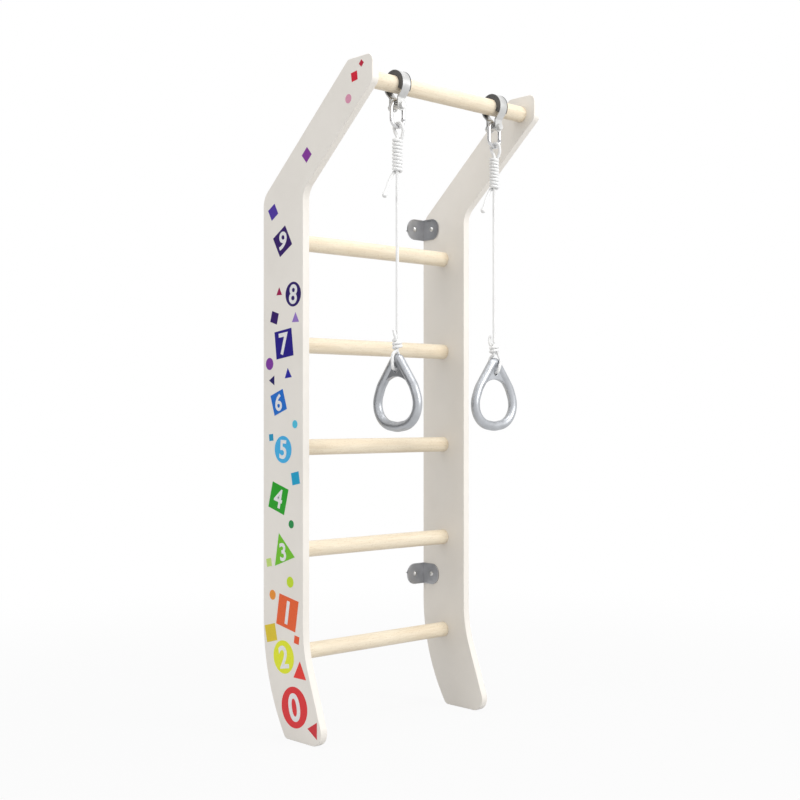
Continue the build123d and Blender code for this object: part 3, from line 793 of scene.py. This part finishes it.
def onPanel(across, up, out):
    # across grows away from the wall, up is height, and out stands off the panel's outer face
    return np.stack([stickerFace["x"] - out, stickerFace["wallY"] - across, up], -1)


def flatSticker(name, outline, centre, thick):
    # two copies of the outline, one on the panel and one a film's thickness out, with a rim between
    count = len(outline)
    across, up = (outline[:, 0] + centre[0]) / 1000, (outline[:, 1] + centre[1]) / 1000
    points = np.vstack([onPanel(across, up, np.zeros(count)), onPanel(across, up, np.full(count, thick))])
    step = np.arange(count)
    following = (step + 1) % count
    rim = np.stack([step, following, count + following, count + step], -1)
    return newPiece(name, points, [step[::-1].tolist(), (count + step).tolist(), *rim.tolist()], smooth=False)


def digitSticker(name, digit, centre, height, turn):
    # the digit's own outline, turned about its middle and laid on the sticker's front
    data = bpy.data.curves.new(name, "FONT")
    data.body = digit
    data.size = 1.0
    data.offset = stickerFace["digitSwell"]
    data.extrude = stickerFace["digitDepth"]
    mesh = meshOf(data)
    flat = pointsOf(mesh)
    low, high = flat.min(axis=0), flat.max(axis=0)
    flat -= (low + high) / 2
    flat[:, :2] *= height / (high[1] - low[1])
    cosine, sine = math.cos(math.radians(turn)), math.sin(math.radians(turn))
    across = flat[:, 0] * cosine - flat[:, 1] * sine
    up = flat[:, 0] * sine + flat[:, 1] * cosine
    out = stickerFace["thick"] + stickerFace["digitThick"] * (flat[:, 2] / (high[2] - low[2]) + 0.5)
    points = onPanel((across + centre[0]) / 1000, (up + centre[1]) / 1000, out)
    mesh.vertices.foreach_set("co", points.ravel())
    mesh.update()
    return linked(name, mesh)


def linearLight(level):
    # a screen level of 0 to 255 as light: (level / 255 + 0.055) / 1.055 to the power 2.4, or a straight
    # line of level / 255 / 12.92 near black
    share = level / 255
    return ((share + 0.055) / 1.055) ** 2.4 if level > 10 else share / 12.92


def vinyl(name, colour):
    # printed film: an even colour with a faint mottle and a soft gloss
    lit = tuple(min(linearLight(c) / film["lift"], film["brightest"]) for c in colour)
    material, tree, shader = shaderFor(name, lit, film["rough"])
    mottle = noise(tree, objectPlace(tree), film["scale"], 3)
    shade = tuple(film["shade"] * c for c in lit)
    tree.links.new(between(tree, mottle, shade, lit, *film["span"]), shader.inputs["Base Color"])
    bump(tree, shader, mottle, film["depth"], film["strength"])
    return material


digitWhite = vinyl("digitWhite", film["digit"])
for count, (shape, across, up, size, turn, colour, *label) in enumerate(stickers):
    name = f"sticker_{count + 1:02d}_{shape}"
    piece = flatSticker(name, outlineOf(shape, size, turn), (across, up), stickerFace["thick"])
    dress(piece, vinyl(f"vinyl{count + 1:02d}", colour))
    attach(piece, "frame")
    if label:
        digit, digitHeight, digitTurn = label
        figure = digitSticker(f"digit_{digit}", digit, (across, up), digitHeight, digitTurn)
        dress(figure, digitWhite)
        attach(figure, "frame")
print("stickers laid")

studio = {
    "floor": 14.0,
    "white": (0.5, 0.5, 0.5),
    "rough": 0.9,
    "ambient": 0.71,
    "nearGlow": 0.92,
    "nearEdge": 0.7,
    "farEdge": 2.6,
}
# each lamp: name, place, the point that it faces, width in metres, power in watts
lamps = [
    ("keyLamp", (0.9, -4.2, 2.6), (0, 0, 0.8), 2.6, 105),
    ("sideLamp", (-4.2, 0.4, 2.2), (0, 0, 0.8), 1.6, 30),
    ("topLamp", (0.2, -0.6, 4.2), (0, 0, 0.6), 2.2, 48),
]
darkCard = {"x": -3.3, "nearY": -0.5, "farY": 6.5, "top": 3.2, "colour": (0.04, 0.04, 0.045), "rough": 0.9}


def floorAndLight(settings):
    side = settings["floor"] / 2
    corners = [(-side, -side, 0), (side, -side, 0), (side, side, 0), (-side, side, 0)]
    floor = newPiece("studioFloor", corners, [[0, 1, 2, 3]], smooth=False)
    material, tree, shader = shaderFor("floorWhite", settings["white"], settings["rough"])
    glow = add(tree, "ShaderNodeEmission", Strength=1.0)
    mix = add(tree, "ShaderNodeMixShader")
    rays = add(tree, "ShaderNodeLightPath")
    seen = calc(tree, "MAXIMUM", rays.outputs["Is Camera Ray"], rays.outputs["Is Glossy Ray"])
    # the floor's own white grows with the distance from the object's foot, until it meets the backdrop's
    away = add(tree, "ShaderNodeVectorMath", operation="LENGTH")
    tree.links.new(objectPlace(tree), away.inputs[0])
    reach = add(tree, "ShaderNodeMapRange", interpolation_type="SMOOTHSTEP")
    reach.inputs["From Min"].default_value = settings["nearEdge"]
    reach.inputs["From Max"].default_value = settings["farEdge"]
    reach.inputs["To Min"].default_value = settings["nearGlow"]
    tree.links.new(away.outputs["Value"], reach.inputs["Value"])
    tree.links.new(calc(tree, "MULTIPLY", seen, reach.outputs["Result"]), mix.inputs["Fac"])
    tree.links.new(shader.outputs["BSDF"], mix.inputs[1])
    tree.links.new(glow.outputs["Emission"], mix.inputs[2])
    tree.links.new(mix.outputs["Shader"], tree.nodes["Material Output"].inputs["Surface"])
    dress(floor, material)

    world = bpy.data.worlds.new("studioSky")
    bpy.context.scene.world = world
    world.use_nodes = True
    sky = world.node_tree
    rays = add(sky, "ShaderNodeLightPath")
    seen = calc(sky, "MAXIMUM", rays.outputs["Is Camera Ray"], rays.outputs["Is Glossy Ray"])
    seen = calc(sky, "MAXIMUM", seen, rays.outputs["Is Transmission Ray"])
    lift = calc(sky, "MULTIPLY", seen, 1.0 - settings["ambient"])
    sky.links.new(calc(sky, "ADD", lift, settings["ambient"]), sky.nodes["Background"].inputs["Strength"])
    sky.nodes["Background"].inputs["Color"].default_value = (1, 1, 1, 1)


def cardBeside(settings):
    # a dark standing card out of the camera's sight, for the metal and the rings to mirror
    x, near, far, top = (settings[key] for key in ("x", "nearY", "farY", "top"))
    corners = [(x, near, 0), (x, far, 0), (x, far, top), (x, near, top)]
    card = newPiece("darkCard", corners, [[0, 1, 2, 3]], smooth=False)
    dress(card, shaderFor("cardGrey", settings["colour"], settings["rough"])[0])
    card.visible_diffuse = False
    card.visible_shadow = False


def addLamp(name, place, target, size, power):
    data = bpy.data.lights.new(name, "AREA")
    data.shape = "DISK"
    data.size = size
    data.energy = power
    lamp = linked(name, data)
    lamp.location = place
    lamp.rotation_euler = (Vector(target) - Vector(place)).to_track_quat("-Z", "Y").to_euler()


floorAndLight(studio)
cardBeside(darkCard)
for lamp in lamps:
    addLamp(*lamp)
print("studio lit")
